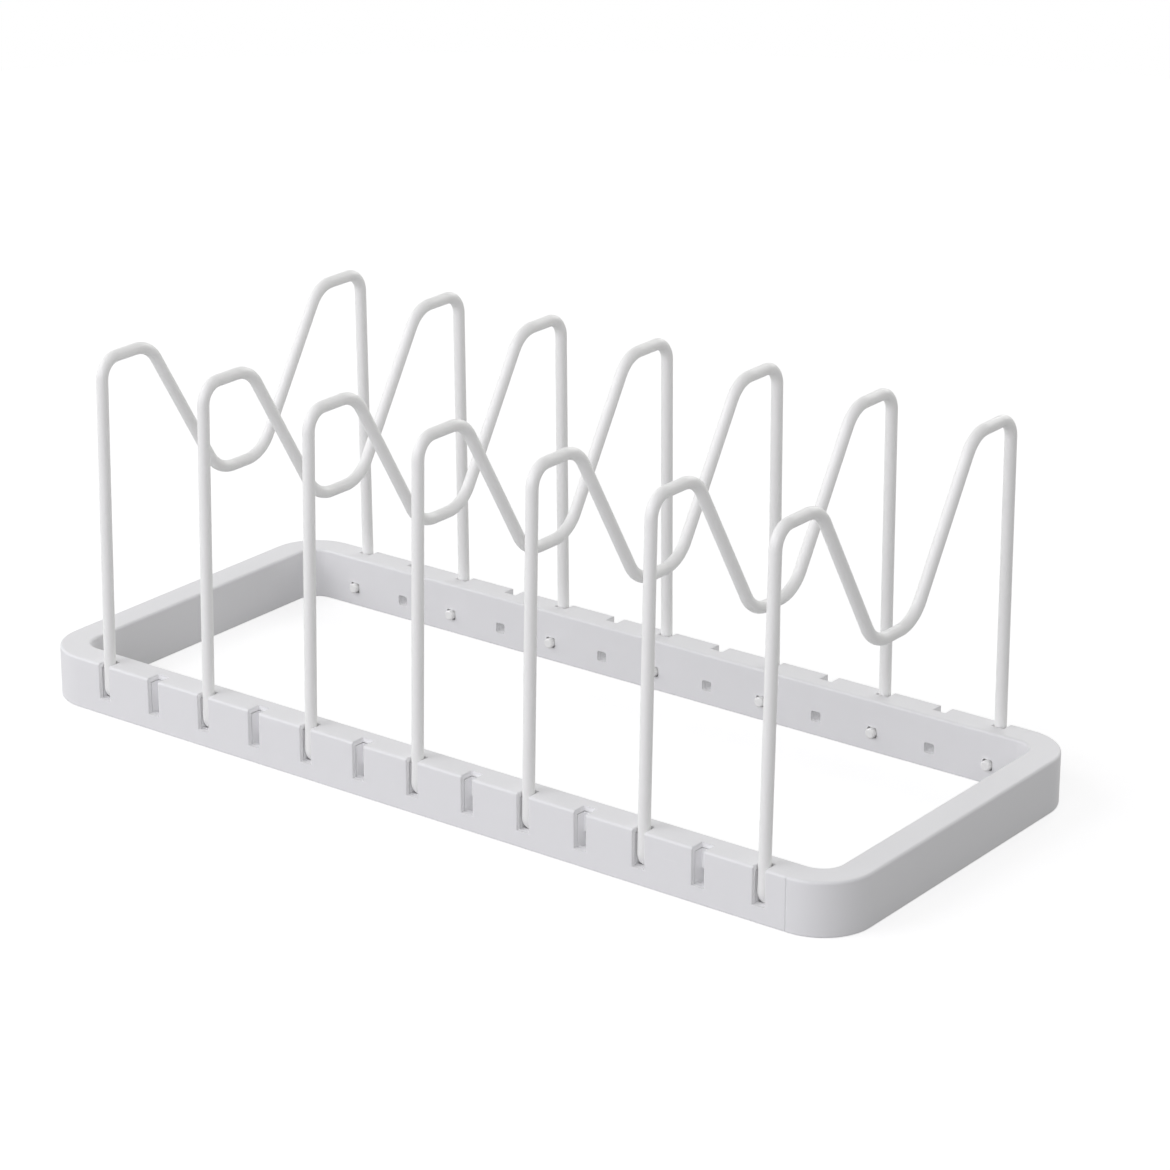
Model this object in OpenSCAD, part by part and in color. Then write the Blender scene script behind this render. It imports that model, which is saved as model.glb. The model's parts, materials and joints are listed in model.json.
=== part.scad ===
// Pot lid rack: an extending base of two nested channel frames that carries
// seven bent wire dividers. Shown closed, with a divider in every second slot.
// Millimetres. X runs along the rack, Y to its back, Z up. The origin is at
// the centre of the footprint, on the surface that the rack stands on.

/* [Base] */
// Overall length of the closed rack
rack_l = 400; // [360:5:460]
// Overall depth of the rack from its front face to its back face
rack_w = 174; // [150:1:220]
// Height of the rails
rail_h = 22.5; // [21:0.5:28]
// Width of the rails seen from above
rail_w = 13; // [12.8:0.1:15]
// Radius of the outer corners seen from above
corner_r = 22; // [18:0.5:26]
// Radius along the upper edges of the rails
edge_r = 1.2; // [0.6:0.1:1.6]
// Radius along the lower edges of the rails
foot_r = 0.7; // [0.3:0.1:1]
// Straight stub between the seam and the right-hand corner
seam_stub = 1; // [0.5:0.5:5]
// Width of the shallow groove that marks the seam on the outer face
seam_groove = 0.7; // [0.3:0.1:1]

/* [Walls] */
// Thickness of the outer frame's side walls
wall = 2; // [1.6:0.1:2.2]
// Thickness of the outer frame's top wall
top_wall = 2.2; // [1.8:0.1:2.8]
// Height of the lips that hold the inner frame up in the channel
lip_h = 1.2; // [0.8:0.1:1.6]
// How far each lip reaches under the inner frame
lip_reach = 1; // [0.7:0.1:1.4]
// Thickness of the inner frame's arm walls
arm_wall = 1.6; // [1.2:0.1:1.8]
// Running clearance between the inner and the outer frame
slide_gap = 0.3; // [0.2:0.05:0.4]
// Clearance between the end of an inner arm and the left-hand corner
arm_end_gap = 2; // [1:0.5:5]
// Thickness of the shoulder that closes the inner frame at the seam
shoulder_t = 2; // [1.5:0.1:3]
// Thickness of the stiffening ribs
rib_t = 1.5; // [1:0.1:2]
// Number of ribs in each end bar
end_ribs = 5; // [3:1:9]
// How far the ribs stay above the surface
rib_lift = 3; // [2:0.5:6]

/* [Slots] */
// Number of slots along each rail
slot_n = 13; // [13:1:15]
// Distance from the left-hand end to the middle of the first slot
first_slot = 37.5; // [35:0.5:45]
// Distance from the right-hand end to the middle of the last slot
last_slot = 35; // [34:0.5:45]
// Clearance between a divider's leg and the slot's two sides together
slot_play = 0.5; // [0.4:0.1:1]
// Depth of a slot from the rail's outer face
slot_depth = 6.6; // [6.5:0.1:6.9]
// Height of a slot's floor above the surface
slot_floor = 7; // [6.6:0.1:7.1]
// Radius of a slot's lips
slot_lip = 0.5; // [0.2:0.1:0.8]
// Thickness of the pocket walls round a slot in the inner frame
pocket_wall = 1.4; // [1:0.1:1.6]
// Clearance above and below a divider's foot in its hole
hole_play = 0.1; // [0.05:0.05:0.3]
// Clearance above the inside of a divider's bend
bend_play = 0.8; // [0.4:0.1:1.5]
// Radius in the corners of a hole
hole_corner = 0.8; // [0.3:0.1:1.4]

/* [Dividers] */
// Wire diameter with its coating
wire_d = 5; // [4.6:0.1:5.2]
// Height of the wire's centreline along the flat tops
crest_z = 152.5; // [130:0.5:200]
// Height of the wire's centreline along the valley
valley_z = 87.5; // [60:0.5:110]
// Distance from the rail's outer face to a leg's centreline at its foot
leg_inset = 3.6; // [3.4:0.1:3.7]
// How much nearer the middle a leg is at its top than at its foot
leg_lean = 2.6; // [0:0.1:3]
// Length of each flat top between its corner points
crest_l = 27.6; // [22:0.2:30]
// Length of the flat valley between its corner points
valley_l = 27.6; // [20:0.2:40]
// Height of the wire's centreline where its foot runs inwards
foot_z = 8.4; // [8.2:0.1:8.6]
// How far a foot stands out of the rail's inner face
foot_proud = 2; // [0.5:0.1:3]
// Diameter of a foot where it goes through the hole, a little drawn in
foot_d = 4.3; // [4:0.1:4.5]
// Bend radius between a foot and its leg
foot_bend = 4; // [3.6:0.1:4.2]
// Bend radius between a leg and the flat top
leg_bend = 8.5; // [6:0.5:12]
// Bend radius between the flat top and the slope
crest_bend = 14; // [10:0.5:18]
// Bend radius between the slope and the valley
valley_bend = 16.5; // [10:0.5:20]
// Chamfer at the wire's cut ends
end_chamfer = 0.5; // [0.2:0.1:0.8]

/* [Hidden] */
$fn = 64;
over = 1; // how far a cut runs past the surface that it opens
bend_swell = 0.02; // how much the wire's radius is larger in its bends
run_in = 0.2; // how far each straight runs into its bends

half_l = rack_l / 2;
half_w = rack_w / 2;
bar_half = half_w - corner_r; // half the straight length of an end bar
corner_x = half_l - corner_r; // where the straight rails end
seam_x = corner_x - seam_stub;

arm_inset = wall + slide_gap; // from the rail's outer face to the inner arm
arm_w = rail_w - 2 * arm_inset;
arm_bottom = lip_h + slide_gap;
arm_top = rail_h - top_wall - slide_gap;
arm_end_x = -corner_x + arm_end_gap;

slot_pitch = (rack_l - first_slot - last_slot) / (slot_n - 1);
slot_w = wire_d + slot_play;
pocket_w = slot_w + 2 * pocket_wall;
pocket_depth = slot_depth + pocket_wall; // from the rail's outer face
hole_bottom = foot_z - foot_d / 2 - hole_play;
hole_top = foot_z + foot_d / 2 + hole_play;
hole_w = foot_d + slot_play / 2;
relief_start = wall + slide_gap + arm_wall; // inside the arm's outer wall
relief_end = pocket_depth + over; // where the room for the bend gives way to the hole
relief_bottom = foot_z - wire_d / 2 - hole_play;
relief_top = foot_z + wire_d / 2 + hole_play + bend_play;
neck = rail_w + foot_proud - relief_end + hole_play; // length of a foot that is drawn in

leg_y = half_w - leg_inset; // a leg's foot, from the middle of the rack
leg_top_y = leg_y - leg_lean;
crest_y = leg_top_y - crest_l;
foot_end_y = half_w - rail_w - foot_proud;

function slot_x(i) = -half_l + first_slot + i * slot_pitch;
function unit(v) = v / norm(v);
function turn(a, b) = a.x * b.y - a.y * b.x; // above 0 where the path turns left

// What a rounded corner takes away, with the corner at the origin and the body towards +x +y
module corner_waste(r) {
    difference() {
        translate([-over, -over]) square(r + over);
        translate([r, r]) circle(r);
    }
}

// Outline of a rail: x from its outer face to its inner face, y up
module rail_outline() {
    difference() {
        square([rail_w, rail_h]);
        corner_waste(foot_r);
        translate([rail_w, 0]) mirror([1, 0]) corner_waste(foot_r);
        translate([0, rail_h]) mirror([0, 1]) corner_waste(edge_r);
        translate([rail_w, rail_h]) rotate(180) corner_waste(edge_r);
    }
}

// The channel inside a rail, open downwards between its lips
module rail_hollow() {
    translate([wall, lip_h]) square([rail_w - 2 * wall, rail_h - top_wall - lip_h]);
    translate([wall + lip_reach, -over])
        square([rail_w - 2 * (wall + lip_reach), lip_h + 2 * over]);
}

module rail_section() {
    difference() {
        rail_outline();
        rail_hollow();
    }
}

// Section of an arm of the inner frame, in the same place as the rail round it
module arm_section() {
    difference() {
        translate([arm_inset, arm_bottom]) square([arm_w, arm_top - arm_bottom]);
        translate([arm_inset + arm_wall, arm_bottom - over])
            square([arm_w - 2 * arm_wall, arm_top - arm_wall - arm_bottom + over]);
    }
}

// Section of the shoulder that closes a rail of the inner frame, let into its walls
module shoulder_section() {
    translate([wall / 2, lip_h / 2])
        square([rail_w - wall, rail_h - top_wall / 2 - lip_h / 2]);
}

// Carries a section from x0 to x1 along the front rail
module along_rail(x0, x1) {
    translate([x0, -half_w, 0]) rotate([90, 0, 90]) linear_extrude(x1 - x0) children();
}

// Puts the children on the front rail and their mirror image on the back rail
module both_rails() {
    children();
    mirror([0, 1, 0]) children();
}

// Turns a rail section a quarter of a circle round the left-hand front corner
module corner_turn() {
    translate([-corner_x, -bar_half, 0])
        rotate([0, 0, 180]) rotate_extrude(angle = 90)
            translate([corner_r, 0]) mirror([1, 0]) children();
}

// The left-hand end of a frame: its end bar with ribs, and both corners
module frame_end() {
    translate([-half_l, bar_half, 0])
        rotate([90, 0, 0]) linear_extrude(2 * bar_half) rail_section();
    both_rails() corner_turn() rail_section();
    rib_room = 2 * bar_half / end_ribs;
    for (i = [0 : end_ribs - 1])
        translate([-half_l + wall / 2, -bar_half + (i + 0.5) * rib_room - rib_t / 2, rib_lift])
            cube([rail_w - wall, rib_t, rail_h - top_wall / 2 - rib_lift]);
}

// What a slot takes away seen from above, x along the rail, y from its outer face inwards
module slot_plan() {
    translate([-slot_w / 2, -over]) square([slot_w, slot_depth + over]);
    for (side = [-1, 1])
        translate([side * slot_w / 2, 0])
            rotate(side > 0 ? 0 : 90) corner_waste(slot_lip);
}

// What a slot's rounded upper lips take away seen from the front
module slot_lips() {
    for (side = [-1, 1])
        translate([side * slot_w / 2, rail_h])
            rotate(side > 0 ? -90 : 180) corner_waste(slot_lip);
}

// Slot for a divider's leg, through the outer wall and the outer part of the top
module slot_cut() {
    translate([0, -half_w, slot_floor]) linear_extrude(rail_h) slot_plan();
    translate([0, -half_w + slot_depth, 0])
        rotate([90, 0, 0]) linear_extrude(slot_depth + over) slot_lips();
}

// Hole for a divider's foot through a rail's inner wall, with rounded corners
module hole_cut() {
    hole_h = hole_top - hole_bottom;
    translate([0, -half_w + rail_w + over, hole_bottom])
        rotate([90, 0, 0]) linear_extrude(rail_w + over - pocket_depth + over) {
            translate([-hole_w / 2, hole_corner]) square([hole_w, hole_h - 2 * hole_corner]);
            translate([-hole_w / 2 + hole_corner, 0])
                square([hole_w - 2 * hole_corner, hole_h]);
            for (x = [-1, 1], z = [0, 1])
                translate([x * (hole_w / 2 - hole_corner), z ? hole_h - hole_corner : hole_corner])
                    circle(hole_corner);
        }
}

// Room behind a slot's floor for the bend between leg and foot
module bend_relief() {
    translate([-slot_w / 2, -half_w + relief_start, relief_bottom])
        cube([slot_w, relief_end - relief_start, relief_top - relief_bottom]);
}

module at_slots() {
    for (i = [0 : slot_n - 1]) translate([slot_x(i), 0, 0]) children();
}

// Left-hand frame: an end bar and two channel arms with slots and holes
module outer_frame() {
    color("#dfdfe3") difference() {
        union() {
            frame_end();
            both_rails() along_rail(-corner_x, seam_x) rail_section();
        }
        both_rails() at_slots() {
            slot_cut();
            hole_cut();
        }
        both_rails() seam_relief();
    }
}

// Fine groove down the outer face where the two frames meet
module seam_relief() {
    side = seam_groove / sqrt(2);
    translate([seam_x, -half_w, -over])
        rotate([0, 0, 45]) translate([-side / 2, -side / 2, 0])
            cube([side, side, rail_h + 2 * over]);
}

// Pocket round a slot inside an arm of the inner frame
module pocket() {
    translate([-pocket_w / 2, -half_w + arm_inset, relief_bottom - pocket_wall])
        cube([pocket_w, pocket_depth - arm_inset, arm_top - relief_bottom + pocket_wall]);
}

// Sleeve that carries a divider's foot on from the pocket to the arm's inner wall
module foot_sleeve() {
    translate([-pocket_w / 2, -half_w + pocket_depth - pocket_wall / 2, relief_bottom - pocket_wall])
        cube([
            pocket_w,
            rail_w - arm_inset - arm_wall / 2 - pocket_depth + pocket_wall / 2,
            relief_top - relief_bottom + 2 * pocket_wall
        ]);
}

// Cross rib that ties the two walls of an arm between two slots
module arm_rib() {
    translate([-rib_t / 2, -half_w + arm_inset + arm_wall / 2, arm_bottom + rib_lift])
        cube([rib_t, arm_w - arm_wall, arm_top - arm_wall / 2 - arm_bottom - rib_lift]);
}

// Right-hand frame: an end bar flush with the outer frame, and two narrower
// arms that slide inside its channels
module inner_frame() {
    color("#dcdce0") difference() {
        union() {
            mirror([1, 0, 0]) frame_end();
            both_rails() {
                along_rail(seam_x, corner_x) rail_section();
                along_rail(seam_x, seam_x + shoulder_t) shoulder_section();
                along_rail(arm_end_x, seam_x + shoulder_t / 2) arm_section();
                at_slots() {
                    pocket();
                    foot_sleeve();
                }
                for (i = [0 : slot_n - 2])
                    translate([slot_x(i) + slot_pitch / 2, 0, 0]) arm_rib();
            }
        }
        both_rails() at_slots() {
            slot_cut();
            hole_cut();
            bend_relief();
        }
        both_rails() seam_relief();
    }
}

// Straight of a wire from a to b, each [y, z]
module wire_run(a, b) {
    run = b - a;
    translate([0, a.x, a.y]) rotate([-atan2(run.x, run.y), 0, 0])
        cylinder(h = norm(run), r = wire_d / 2 - bend_swell);
}

// A foot from its free end at a to the bend at b, drawn in where it goes through the hole
module foot_run(a, b) {
    run = b - a;
    r = wire_d / 2 - bend_swell;
    narrow = foot_d / 2;
    translate([0, a.x, a.y]) rotate([-atan2(run.x, run.y), 0, 0])
        rotate_extrude() polygon([
            [0, 0],
            [narrow - end_chamfer, 0],
            [narrow, end_chamfer],
            [narrow, neck],
            [r, neck + r - narrow],
            [r, norm(run)],
            [0, norm(run)]
        ]);
}

// Bend of radius r at the corner b of a path that comes from a and goes on to c
module wire_bend(a, b, c, r) {
    way_in = unit(b - a);
    way_out = unit(c - b);
    angle = acos(way_in * way_out);
    left = turn(way_in, way_out) > 0;
    start = b - way_in * r * tan(angle / 2);
    finish = b + way_out * r * tan(angle / 2);
    centre = start + (left ? r : -r) * [-way_in.y, way_in.x];
    first = (left ? start : finish) - centre;
    translate([0, centre.x, centre.y]) rotate([90, 0, 90])
        rotate([0, 0, atan2(first.y, first.x)])
            rotate_extrude(angle = angle) translate([r, 0]) circle(d = wire_d);
}

// Corner points of a divider's centreline, [y, z], from its front foot to its back foot
front_path = [
    [-foot_end_y, foot_z],
    [-leg_y, foot_z],
    [-leg_top_y, crest_z],
    [-crest_y, crest_z],
    [-valley_l / 2, valley_z]
];
front_bends = [0, foot_bend, leg_bend, crest_bend, valley_bend];
back_order = [len(front_path) - 1 : -1 : 0];
path = concat(front_path, [for (i = back_order) [-front_path[i].x, front_path[i].y]]);
path_bends = concat(front_bends, [for (i = back_order) front_bends[i]]);
path_last = len(path) - 1;

// Length of the straight that the bend at corner i takes up, less what runs into the bend
function bend_take(i) =
    path_bends[i] == 0 ? 0 :
    let (way_in = unit(path[i] - path[i - 1]))
    let (way_out = unit(path[i + 1] - path[i]))
    path_bends[i] * tan(acos(way_in * way_out) / 2) - run_in;

// One divider, counted from the left, bent from a single wire
module divider(count) {
    color("#e9e9ea") translate([slot_x(2 * (count - 1)), 0, 0]) {
        for (i = [0 : path_last - 1]) {
            way = unit(path[i + 1] - path[i]);
            start = path[i] + way * bend_take(i);
            finish = path[i + 1] - way * bend_take(i + 1);
            if (i == 0) foot_run(start, finish);
            else if (i == path_last - 1) foot_run(finish, start);
            else wire_run(start, finish);
        }
        for (i = [1 : path_last - 1])
            wire_bend(path[i - 1], path[i], path[i + 1], path_bends[i]);
    }
}

outer_frame();
inner_frame();
divider(1);  // divider_1
divider(2);  // divider_2
divider(3);  // divider_3
divider(4);  // divider_4
divider(5);  // divider_5
divider(6);  // divider_6
divider(7);  // divider_7
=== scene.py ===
# Pot lid rack: finishes, stage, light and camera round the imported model. Metres, Z up.

import json
import math

import bmesh
import bpy
from mathutils import Matrix, Vector


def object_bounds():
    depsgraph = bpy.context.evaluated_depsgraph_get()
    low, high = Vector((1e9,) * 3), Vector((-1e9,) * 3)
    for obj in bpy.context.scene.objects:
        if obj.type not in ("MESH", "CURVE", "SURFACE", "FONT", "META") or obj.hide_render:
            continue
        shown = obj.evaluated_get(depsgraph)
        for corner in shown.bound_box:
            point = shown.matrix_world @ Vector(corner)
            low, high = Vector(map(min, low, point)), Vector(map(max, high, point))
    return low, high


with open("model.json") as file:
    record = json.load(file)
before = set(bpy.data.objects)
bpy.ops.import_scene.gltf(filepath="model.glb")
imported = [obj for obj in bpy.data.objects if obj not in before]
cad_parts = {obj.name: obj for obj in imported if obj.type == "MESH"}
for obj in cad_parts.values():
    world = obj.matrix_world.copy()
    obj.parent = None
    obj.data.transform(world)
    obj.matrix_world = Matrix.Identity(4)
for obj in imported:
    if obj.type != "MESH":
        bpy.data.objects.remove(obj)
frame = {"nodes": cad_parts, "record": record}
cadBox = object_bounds()
print("rack loaded, pieces:", len(frame["nodes"]))

scene = bpy.context.scene
scene.view_settings.view_transform = "Standard"


# small helpers for node trees

# places of the first value, the second value and the result in a Mix node
mixSockets = {"FLOAT": (2, 3, 0), "RGBA": (6, 7, 2)}


def feed(tree, socket, value):
    # an output is linked, a plain value is written on the node's own socket
    if isinstance(value, bpy.types.NodeSocket):
        tree.links.new(value, socket)
    else:
        socket.default_value = value


def addNode(tree, kind, settings=None, values=None):
    node = tree.nodes.new(kind)
    for name, value in (settings or {}).items():
        setattr(node, name, value)
    for name, value in (values or {}).items():
        feed(tree, node.inputs[name], value)
    return node


def addMath(tree, operation, *values):
    node = addNode(tree, "ShaderNodeMath", {"operation": operation})
    for socket, value in zip(node.inputs, values):
        feed(tree, socket, value)
    return node.outputs["Value"]


def addMix(tree, kind, share, first, second):
    node = addNode(tree, "ShaderNodeMix", {"data_type": kind}, {"Factor": share})
    firstPlace, secondPlace, resultPlace = mixSockets[kind]
    feed(tree, node.inputs[firstPlace], first)
    feed(tree, node.inputs[secondPlace], second)
    return node.outputs[resultPlace]


def addFade(tree, value, start, end, low=0.0, high=1.0):
    # goes from low to high while the value goes from start to end
    node = addNode(tree, "ShaderNodeMapRange", {"clamp": True}, {
        "Value": value,
        "From Min": start,
        "From Max": end,
        "To Min": low,
        "To Max": high,
    })
    return node.outputs["Result"]


def addObjectPlace(tree):
    return addNode(tree, "ShaderNodeTexCoord").outputs["Object"]


def addNoise(tree, place, scale, look):
    noise = addNode(tree, "ShaderNodeTexNoise", None, {"Vector": place, "Scale": scale, **look})
    return noise.outputs["Fac"]


def newGroup(name, inputs, outputs):
    tree = bpy.data.node_groups.new(name, "ShaderNodeTree")
    for label, value in inputs.items():
        socket = tree.interface.new_socket(label, in_out="INPUT", socket_type="NodeSocketFloat")
        socket.default_value = value
    for label, kind in outputs.items():
        tree.interface.new_socket(label, in_out="OUTPUT", socket_type=kind)
    return tree, addNode(tree, "NodeGroupInput").outputs, addNode(tree, "NodeGroupOutput").inputs


def placeGroup(tree, group, values):
    return addNode(tree, "ShaderNodeGroup", {"node_tree": group}, values).outputs


def newMaterial(name):
    material = bpy.data.materials.new(name)
    material.use_nodes = True
    tree = material.node_tree
    tree.nodes.clear()
    return material, tree, addNode(tree, "ShaderNodeOutputMaterial").inputs["Surface"]


# fine grain and slow waves in a moulded or coated skin, as a height from 0 to 1

mouldGrainLook = {
    "given": {"Grain Scale": 2500.0, "Wave Scale": 30.0, "Wave Share": 0.5},
    "grain": {"Detail": 2.0, "Roughness": 0.6},
    "wave": {"Detail": 1.0, "Roughness": 0.4},
}


def buildMouldGrain(look):
    tree, given, result = newGroup("mouldGrain", look["given"], {"Height": "NodeSocketFloat"})
    place = addObjectPlace(tree)
    grain = addNoise(tree, place, given["Grain Scale"], look["grain"])
    wave = addNoise(tree, place, given["Wave Scale"], look["wave"])
    feed(tree, result["Height"], addMix(tree, "FLOAT", given["Wave Share"], grain, wave))
    return tree


# soft patches where hands and washing have changed the sheen, and a few hairline rubs

handlingLook = {
    "given": {
        "Sheen Low": 0.4,
        "Sheen High": 0.5,
        "Patch Scale": 14.0,
        "Rub Scale": 60.0,
        "Rub Amount": 0.3,
    },
    "patch": {"Detail": 3.0, "Roughness": 0.55},
    "patchRange": (0.3, 0.7),
    "rub": {"Detail": 4.0, "Roughness": 0.7},
    "rubStretch": {"Scale": (1.0, 9.0, 9.0), "Rotation": (0.0, 0.08, 0.05)},  # along the long rails
    "rubRange": (0.64, 0.76),
    "rubDulling": 0.15,  # how much a full rub adds to the roughness
}


def buildHandling(look):
    tree, given, result = newGroup("handling", look["given"], {
        "Roughness": "NodeSocketFloat",
        "Rubs": "NodeSocketFloat",
    })
    place = addObjectPlace(tree)
    patch = addNoise(tree, place, given["Patch Scale"], look["patch"])
    sheen = addFade(tree, patch, *look["patchRange"], given["Sheen Low"], given["Sheen High"])
    stretch = addNode(tree, "ShaderNodeMapping", None, {"Vector": place, **look["rubStretch"]})
    rub = addNoise(tree, stretch.outputs["Vector"], given["Rub Scale"], look["rub"])
    rubs = addMath(tree, "MULTIPLY", addFade(tree, rub, *look["rubRange"]), given["Rub Amount"])
    dulling = addMath(tree, "MULTIPLY", rubs, look["rubDulling"])
    feed(tree, result["Roughness"], addMath(tree, "ADD", sheen, dulling))
    feed(tree, result["Rubs"], rubs)
    return tree


# normals rolled over a small radius at every edge, and a mask of where that happens

softEdgeLook = {
    "given": {"Radius": 0.0003},
    "samples": 6,
    "turnRange": (0.02, 0.3),  # turn of the normal where the mask starts and where it is full
}


def buildSoftEdge(look):
    tree, given, result = newGroup("softEdge", look["given"], {
        "Normal": "NodeSocketVector",
        "Edge": "NodeSocketFloat",
    })
    roll = addNode(tree, "ShaderNodeBevel", {"samples": look["samples"]}, {"Radius": given["Radius"]})
    surface = addNode(tree, "ShaderNodeNewGeometry")
    compare = addNode(tree, "ShaderNodeVectorMath", {"operation": "DOT_PRODUCT"})
    feed(tree, compare.inputs[0], roll.outputs["Normal"])
    feed(tree, compare.inputs[1], surface.outputs["Normal"])
    turned = addMath(tree, "SUBTRACT", 1.0, compare.outputs["Value"])
    feed(tree, result["Normal"], roll.outputs["Normal"])
    feed(tree, result["Edge"], addFade(tree, turned, *look["turnRange"]))
    return tree


mouldGrain = buildMouldGrain(mouldGrainLook)
handling = buildHandling(handlingLook)
softEdge = buildSoftEdge(softEdgeLook)
print("shared finishes built")


def makeSkin(name, look, addColour):
    # what the frames and the wires have in common; addColour gives the base colour
    material, tree, surface = newMaterial(name)
    height = placeGroup(tree, mouldGrain, look["grain"])["Height"]
    marks = placeGroup(tree, handling, look["marks"])
    edge = placeGroup(tree, softEdge, look["edge"])
    bump = addNode(tree, "ShaderNodeBump", None, {
        **look["bump"],
        "Height": height,
        "Normal": edge["Normal"],
    })
    skin = addNode(tree, "ShaderNodeBsdfPrincipled", None, {
        **look["skin"],
        "Base Color": addColour(tree, look, height, marks["Rubs"], edge["Edge"]),
        "Roughness": marks["Roughness"],
        "Normal": bump.outputs["Normal"],
    })
    feed(tree, surface, skin.outputs["BSDF"])
    return material


# moulded plastic of the two frames

framePlastic = {
    "colour": (0.846, 0.845, 0.852, 1.0),
    "deepColour": (0.826, 0.825, 0.832, 1.0),  # in the hollows of the grain
    "rubbedAndHighlightColour": (0.9, 0.9, 0.903, 1.0),  # on rubs as wear, and on edges partly as wear and partly as a painted highlight
    "paintedFillColour": (0.95, 0.949, 0.956, 1.0),  # painted fill light: a lighter colour in slots and holes that lifts their shade
    "skin": {"IOR": 1.49, "Specular IOR Level": 0.45},
    "grain": {"Grain Scale": 2600.0, "Wave Scale": 26.0, "Wave Share": 0.35},
    "marks": {"Sheen Low": 0.42, "Sheen High": 0.52},
    "bump": {"Strength": 0.12, "Distance": 0.0002},
    "edge": {"Radius": 0.00025},
    "edgeWearAndHighlight": 0.35,  # share of the lighter colour on an edge, partly wear and partly a painted highlight
    "railOutside": 0.087,  # from the middle of the rack to a long rail's outer face
    "railInside": 0.074,
    "railTop": 0.0225,
    "railHalf": 0.177,  # half the length of a long rail between the corners
    "paintedFillRange": (0.0003, 0.0012),  # depth under the rail's faces where the painted fill light comes in
}


def addPaintedFillMask(tree, look):
    # 1 in the slots, pockets and foot holes of the long rails, where a lighter colour is painted to
    # lift their shade
    place = addNode(tree, "ShaderNodeSeparateXYZ", None, {"Vector": addObjectPlace(tree)}).outputs
    along = addMath(tree, "ABSOLUTE", place["X"])
    across = addMath(tree, "ABSOLUTE", place["Y"])
    depth = addMath(tree, "SUBTRACT", look["railTop"], place["Z"])
    for under in (
        addMath(tree, "SUBTRACT", look["railOutside"], across),
        addMath(tree, "SUBTRACT", across, look["railInside"]),
        addMath(tree, "SUBTRACT", look["railHalf"], along),
    ):
        depth = addMath(tree, "MINIMUM", depth, under)
    return addFade(tree, depth, *look["paintedFillRange"])


def addFrameColour(tree, look, height, rubs, edge):
    mottled = addMix(tree, "RGBA", height, look["deepColour"], look["colour"])
    # edges are lightened partly as wear and partly as a painted highlight; rubs are wear
    wearAndHighlight = addMath(tree, "MAXIMUM", addMath(tree, "MULTIPLY", edge, look["edgeWearAndHighlight"]), rubs)
    wornAndHighlighted = addMix(tree, "RGBA", wearAndHighlight, mottled, look["rubbedAndHighlightColour"])
    # slots and holes get painted fill light: a lighter colour in place of the shade there
    return addMix(tree, "RGBA", addPaintedFillMask(tree, look), wornAndHighlighted, look["paintedFillColour"])


# plastic coating on the bent wires

wireCoating = {
    "colour": (0.935, 0.935, 0.92, 1.0),
    "thinColour": (0.91, 0.91, 0.896, 1.0),
    "skin": {"IOR": 1.5, "Coat Weight": 0.12, "Coat Roughness": 0.12},
    "grain": {"Grain Scale": 700.0, "Wave Scale": 90.0, "Wave Share": 0.6},
    "marks": {
        "Sheen Low": 0.32,
        "Sheen High": 0.42,
        "Patch Scale": 40.0,
        "Rub Scale": 120.0,
        "Rub Amount": 0.2,
    },
    "bump": {"Strength": 0.1, "Distance": 0.0002},
    "edge": {"Radius": 0.0004},
}


def addWireColour(tree, look, height, rubs, edge):
    # rubs show only in a wire's sheen, and it has no edge to wear
    return addMix(tree, "RGBA", height, look["thinColour"], look["colour"])


finishes = {
    "frame_plastic": makeSkin("framePlastic", framePlastic, addFrameColour),
    "divider_coating": makeSkin("wireCoating", wireCoating, addWireColour),
}
for part in frame["record"]["subparts"]:
    piece = frame["nodes"][part["node"]]
    piece.data.materials.clear()
    piece.data.materials.append(finishes[part["material_slot"]])


# floor and background

stage = {
    "white": (1.0, 1.0, 1.0, 1.0),
    "floorRadius": 1.25,
    "floorSides": 96,
    "floorColour": (0.5, 0.5, 0.5, 1.0),
    "seenWhite": 0.65,  # what the camera sees on top of the lit floor, so that it reaches white
    "mirroredWhite": 0.45,  # the same for the reflections in the rack
    "backdropWhite": 1.0,
    "worldLevel": 0.4,
}


def addSeenRays(tree):
    # 1 on rays straight from the camera, and 1 on rays that the rack mirrors or lets through
    rays = addNode(tree, "ShaderNodeLightPath").outputs
    mirrored = addMath(tree, "MAXIMUM", rays["Is Glossy Ray"], rays["Is Transmission Ray"])
    return rays["Is Camera Ray"], mirrored


def makeFloorMaterial(look):
    material, tree, surface = newMaterial("paleFloor")
    direct, mirrored = addSeenRays(tree)
    level = addMath(
        tree,
        "MAXIMUM",
        addMath(tree, "MULTIPLY", direct, look["seenWhite"]),
        addMath(tree, "MULTIPLY", mirrored, look["mirroredWhite"]),
    )
    matt = addNode(tree, "ShaderNodeBsdfDiffuse", None, {"Color": look["floorColour"]})
    glow = addNode(tree, "ShaderNodeEmission", None, {"Color": look["white"], "Strength": level})
    both = addNode(tree, "ShaderNodeAddShader")
    feed(tree, both.inputs[0], matt.outputs["BSDF"])
    feed(tree, both.inputs[1], glow.outputs["Emission"])
    feed(tree, surface, both.outputs["Shader"])
    return material


def makeFloor(look):
    mesh = bpy.data.meshes.new("floor")
    shape = bmesh.new()
    sides, radius = look["floorSides"], look["floorRadius"]
    bmesh.ops.create_circle(shape, cap_ends=True, segments=sides, radius=radius)
    shape.to_mesh(mesh)
    shape.free()
    mesh.materials.append(makeFloorMaterial(look))
    floor = bpy.data.objects.new("floor", mesh)
    scene.collection.objects.link(floor)


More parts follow.
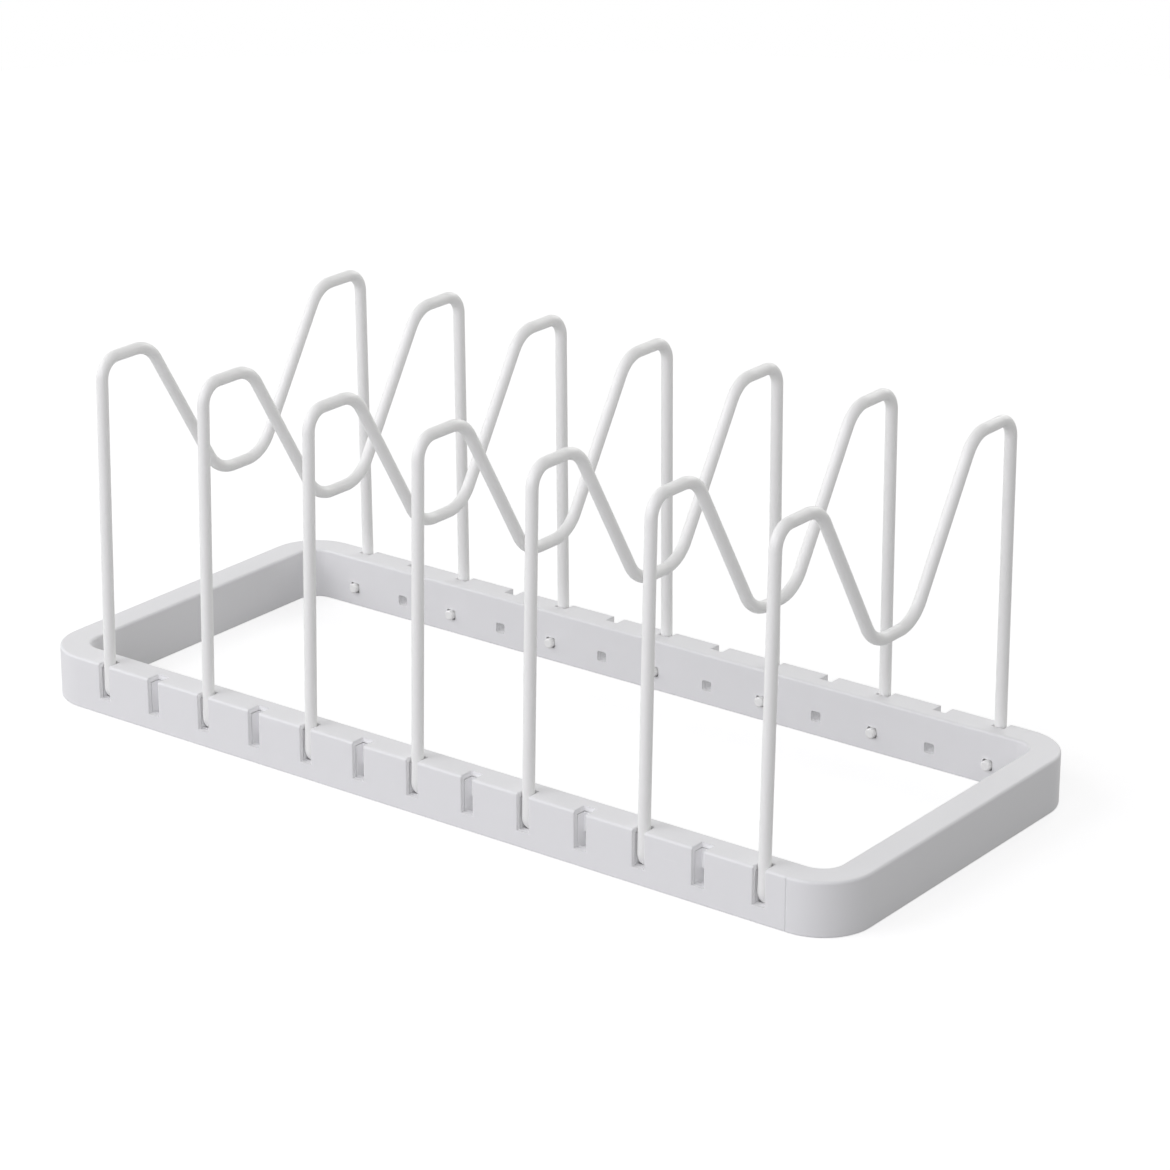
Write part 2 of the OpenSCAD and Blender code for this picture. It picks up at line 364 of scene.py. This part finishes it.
def makeWorld(look):
    world = bpy.data.worlds.new("studioWorld")
    world.use_nodes = True
    tree = world.node_tree
    tree.nodes.clear()
    seen = addMath(tree, "MAXIMUM", *addSeenRays(tree))
    lift = addMath(tree, "MULTIPLY", seen, look["backdropWhite"] - look["worldLevel"])
    sky = addNode(tree, "ShaderNodeBackground", None, {
        "Color": look["white"],
        "Strength": addMath(tree, "ADD", lift, look["worldLevel"]),
    })
    addNode(tree, "ShaderNodeOutputWorld", None, {"Surface": sky.outputs["Background"]})
    scene.world = world


makeFloor(stage)
makeWorld(stage)
print("floor and background set")


# studio lamps, each a soft panel aimed at the middle of the rack

plainLight = (1.0, 1.0, 1.0)
paleLight = (0.98, 0.975, 1.0)
coolLight = (0.95, 0.94, 1.0)
lamps = {
    "highKey": {"place": (-1.1, -1.4, 1.7), "size": (1.4, 1.2), "watts": 11.2, "colour": paleLight},
    "lowKey": {"place": (-1.15, -1.95, 0.95), "size": (1.3, 1.1), "watts": 8.8, "colour": coolLight},
    "cameraSide": {"place": (0.6, -2.1, 1.0), "size": (1.4, 1.2), "watts": 13.2, "colour": coolLight},
    "leftSide": {"place": (-2.3, -0.5, 1.0), "size": (1.6, 1.4), "watts": 8.5, "colour": plainLight},
    "backSide": {"place": (0.2, 2.3, 1.2), "size": (2.4, 1.2), "watts": 20.0, "colour": plainLight},
}
rackMiddle = (cadBox[0] + cadBox[1]) / 2


def makeLamp(name, look):
    light = bpy.data.lights.new(name, "AREA")
    light.shape = "RECTANGLE"
    light.size, light.size_y = look["size"]
    light.energy = look["watts"]
    light.color = look["colour"]
    lamp = bpy.data.objects.new(name, light)
    scene.collection.objects.link(lamp)
    place = Vector(look["place"])
    aim = (rackMiddle - place).to_track_quat("-Z", "Y")
    lamp.matrix_world = Matrix.Translation(place) @ aim.to_matrix().to_4x4()


for name, look in lamps.items():
    makeLamp(name, look)
print("lamps hung:", len(lamps))


# camera at the photograph's angle

camera = {
    "azimuth": 36.726,
    "elevation": 20.682,
    "roll": 0.27,
    "distance": 1.5893,
    "target": (-0.0007, 0.028, 0.0606),
    "lens": 119.86,
    "sensor": 36.0,
    "clipEnd": 50.0,
}


def turnBy(degrees, axis):
    return Matrix.Rotation(math.radians(degrees), 4, axis)


def makeCamera(look):
    lens = bpy.data.cameras.new("photoCamera")
    lens.lens = look["lens"]
    lens.sensor_width = look["sensor"]
    lens.sensor_fit = "HORIZONTAL"
    lens.clip_end = look["clipEnd"]
    eye = bpy.data.objects.new("photoCamera", lens)
    scene.collection.objects.link(eye)
    tilt = turnBy(90.0 - look["elevation"], "X")  # an unturned camera looks straight down
    aim = turnBy(look["azimuth"], "Z") @ tilt @ turnBy(look["roll"], "Z")
    away = Matrix.Translation((0.0, 0.0, look["distance"]))
    eye.matrix_world = Matrix.Translation(look["target"]) @ aim @ away
    scene.camera = eye


makeCamera(camera)
print("camera set")
